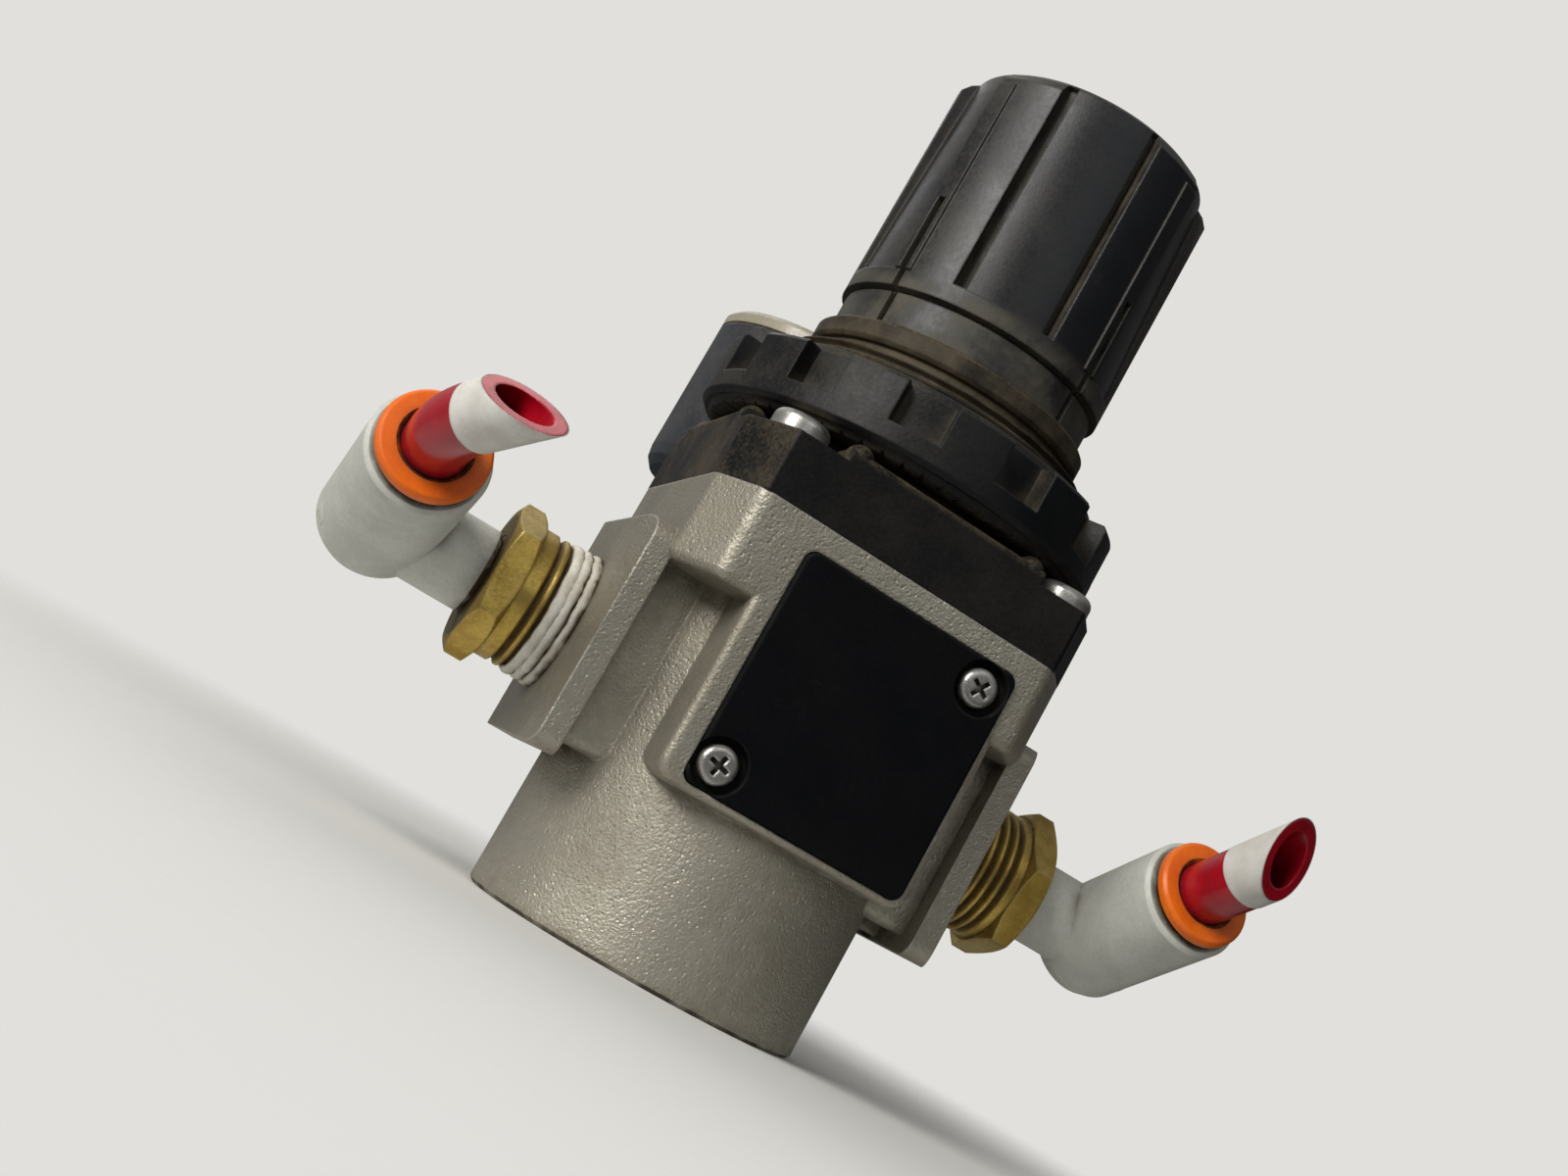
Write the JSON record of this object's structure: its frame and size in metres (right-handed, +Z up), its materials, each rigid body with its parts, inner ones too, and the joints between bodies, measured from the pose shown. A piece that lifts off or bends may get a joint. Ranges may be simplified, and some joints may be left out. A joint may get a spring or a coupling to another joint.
{
  "type": "panel-mount air pressure regulator",
  "caption": "Compressed-air pressure regulator with a pull-to-turn knob, panel nut, rear gauge and push-in tube elbows on both ports.",
  "frame": {"origin": "centre of the flat base, on the knob's axis", "axes": "+Z up along the knob's axis, ports along X with the inlet at -X, cover plate towards -Y, gauge towards +Y"},
  "size_m": [0.1512, 0.1294, 0.151],
  "materials": {
    "cast_metal": "coarse warm-grey cast finish",
    "black_plastic": "satin black moulding",
    "knob_plastic": "semi-gloss black moulding",
    "brass": "worn brass",
    "steel": "zinc-plated steel",
    "spring_steel": "spring steel",
    "rubber": "nitrile rubber",
    "aluminium": "turned aluminium",
    "elbow_grey": "scuffed pale grey moulding",
    "ring_orange": "orange moulding",
    "tube_red": "glossy red nylon tube",
    "band_white": "white sleeve",
    "tape_white": "thread tape",
    "gauge_case": "dark blue-grey case",
    "gauge_lens": "aged clear lens",
    "dial": "white dial",
    "pointer": "black pointer"
  },
  "bodies": {
    "regulator": {"body_casting": "cast_metal", "cover_plate": "black_plastic", "cover_plate_screws": "steel", "cover_plate_seal": "rubber", "bottom_plug": "black_plastic", "bottom_plug_oring": "rubber", "valve_spring": "spring_steel", "diaphragm": "rubber", "adjusting_spring": "spring_steel", "thrust_washer": "brass", "bonnet": "black_plastic", "bonnet_screws": "steel", "reducing_bush_left": "brass", "reducing_bush_right": "brass", "thread_tape_left": "tape_white", "elbow_stud_left": "brass", "elbow_stud_right": "brass", "elbow_oring_left": "rubber", "elbow_oring_right": "rubber", "gauge_elbow": "brass", "gauge_socket": "brass", "gauge_case": "gauge_case", "gauge_lens": "gauge_lens", "gauge_dial": "dial", "gauge_bourdon_tube": "brass", "gauge_movement": "brass"},
    "valve": {"valve_poppet": "brass", "valve_disc": "rubber"},
    "diaphragm_plates": {"diaphragm_upper_plate": "aluminium", "relief_seat": "brass"},
    "seat_nut": {"spring_seat": "steel"},
    "screw": {"adjusting_screw": "steel"},
    "knob": {"knob": "knob_plastic"},
    "panel_nut": {"panel_nut": "black_plastic"},
    "elbow_left": {"elbow_body_left": "elbow_grey", "collet_left": "steel", "tube_seal_left": "rubber", "tube_left": "tube_red", "tube_band_left": "band_white"},
    "elbow_right": {"elbow_body_right": "elbow_grey", "collet_right": "steel", "tube_seal_right": "rubber", "tube_right": "tube_red", "tube_band_right": "band_white"},
    "ring_left": {"release_ring_left": "ring_orange"},
    "ring_right": {"release_ring_right": "ring_orange"},
    "gauge_sector": {"gauge_sector": "brass"},
    "gauge_pointer": {"gauge_pinion": "brass", "gauge_pointer": "pointer"}
  },
  "joints": [
    {"name": "knob_turn", "type": "hinge", "parent": "regulator", "child": "screw", "pos_m": [0, 0, 0.0967], "axis": [0, 0, -1], "range_deg": [0, 1440]},
    {"name": "knob_pull", "type": "slide", "parent": "screw", "child": "knob", "axis": [0, 0, 1], "range_m": [0, 0.003]},
    {"name": "spring_seat_slide", "type": "slide", "parent": "regulator", "child": "seat_nut", "axis": [0, 0, -1], "range_m": [0, 0.0061], "deforming": ["adjusting_spring"]},
    {"name": "diaphragm_lift", "type": "slide", "parent": "regulator", "child": "diaphragm_plates", "axis": [0, 0, -1], "range_m": [0, 0.0012], "stiffness_N_per_m": 2000, "deforming": ["diaphragm"]},
    {"name": "valve_lift", "type": "slide", "parent": "regulator", "child": "valve", "axis": [0, 0, -1], "range_m": [0, 0.0012], "deforming": ["valve_spring"]},
    {"name": "panel_nut_turn", "type": "hinge", "parent": "regulator", "child": "panel_nut", "pos_m": [0, 0, 0.088], "axis": [0, 0, 1], "continuous": true},
    {"name": "elbow_swivel_left", "type": "hinge", "parent": "regulator", "child": "elbow_left", "pos_m": [-0.055, 0, 0.0398], "axis": [-1, 0, 0], "continuous": true},
    {"name": "elbow_swivel_right", "type": "hinge", "parent": "regulator", "child": "elbow_right", "pos_m": [0.055, 0, 0.0398], "axis": [1, 0, 0], "continuous": true},
    {"name": "ring_push_left", "type": "slide", "parent": "elbow_left", "child": "ring_left", "axis": [0, 0.9367, -0.3502], "range_m": [0, 0.0008], "stiffness_N_per_m": 300},
    {"name": "ring_push_right", "type": "slide", "parent": "elbow_right", "child": "ring_right", "axis": [0, 0.8894, -0.4571], "range_m": [0, 0.0008], "stiffness_N_per_m": 300},
    {"name": "gauge_sector_swing", "type": "hinge", "parent": "regulator", "child": "gauge_sector", "pos_m": [0.0071, 0.0566, 0.0994], "axis": [0, 0, 1], "range_deg": [0, 45.1]},
    {"name": "gauge_pointer_turn", "type": "hinge", "parent": "regulator", "child": "gauge_pointer", "pos_m": [-0.0069, 0.0566, 0.1005], "axis": [0, 0, -1], "range_deg": [0, 270.6]}
  ],
  "couplings": [
    {"joint": "spring_seat_slide", "follows": "knob_turn", "m_per_rad": 0.00023873},
    {"joint": "valve_lift", "follows": "diaphragm_lift", "ratio": 1},
    {"joint": "gauge_pointer_turn", "follows": "gauge_sector_swing", "ratio": 6}
  ]
}
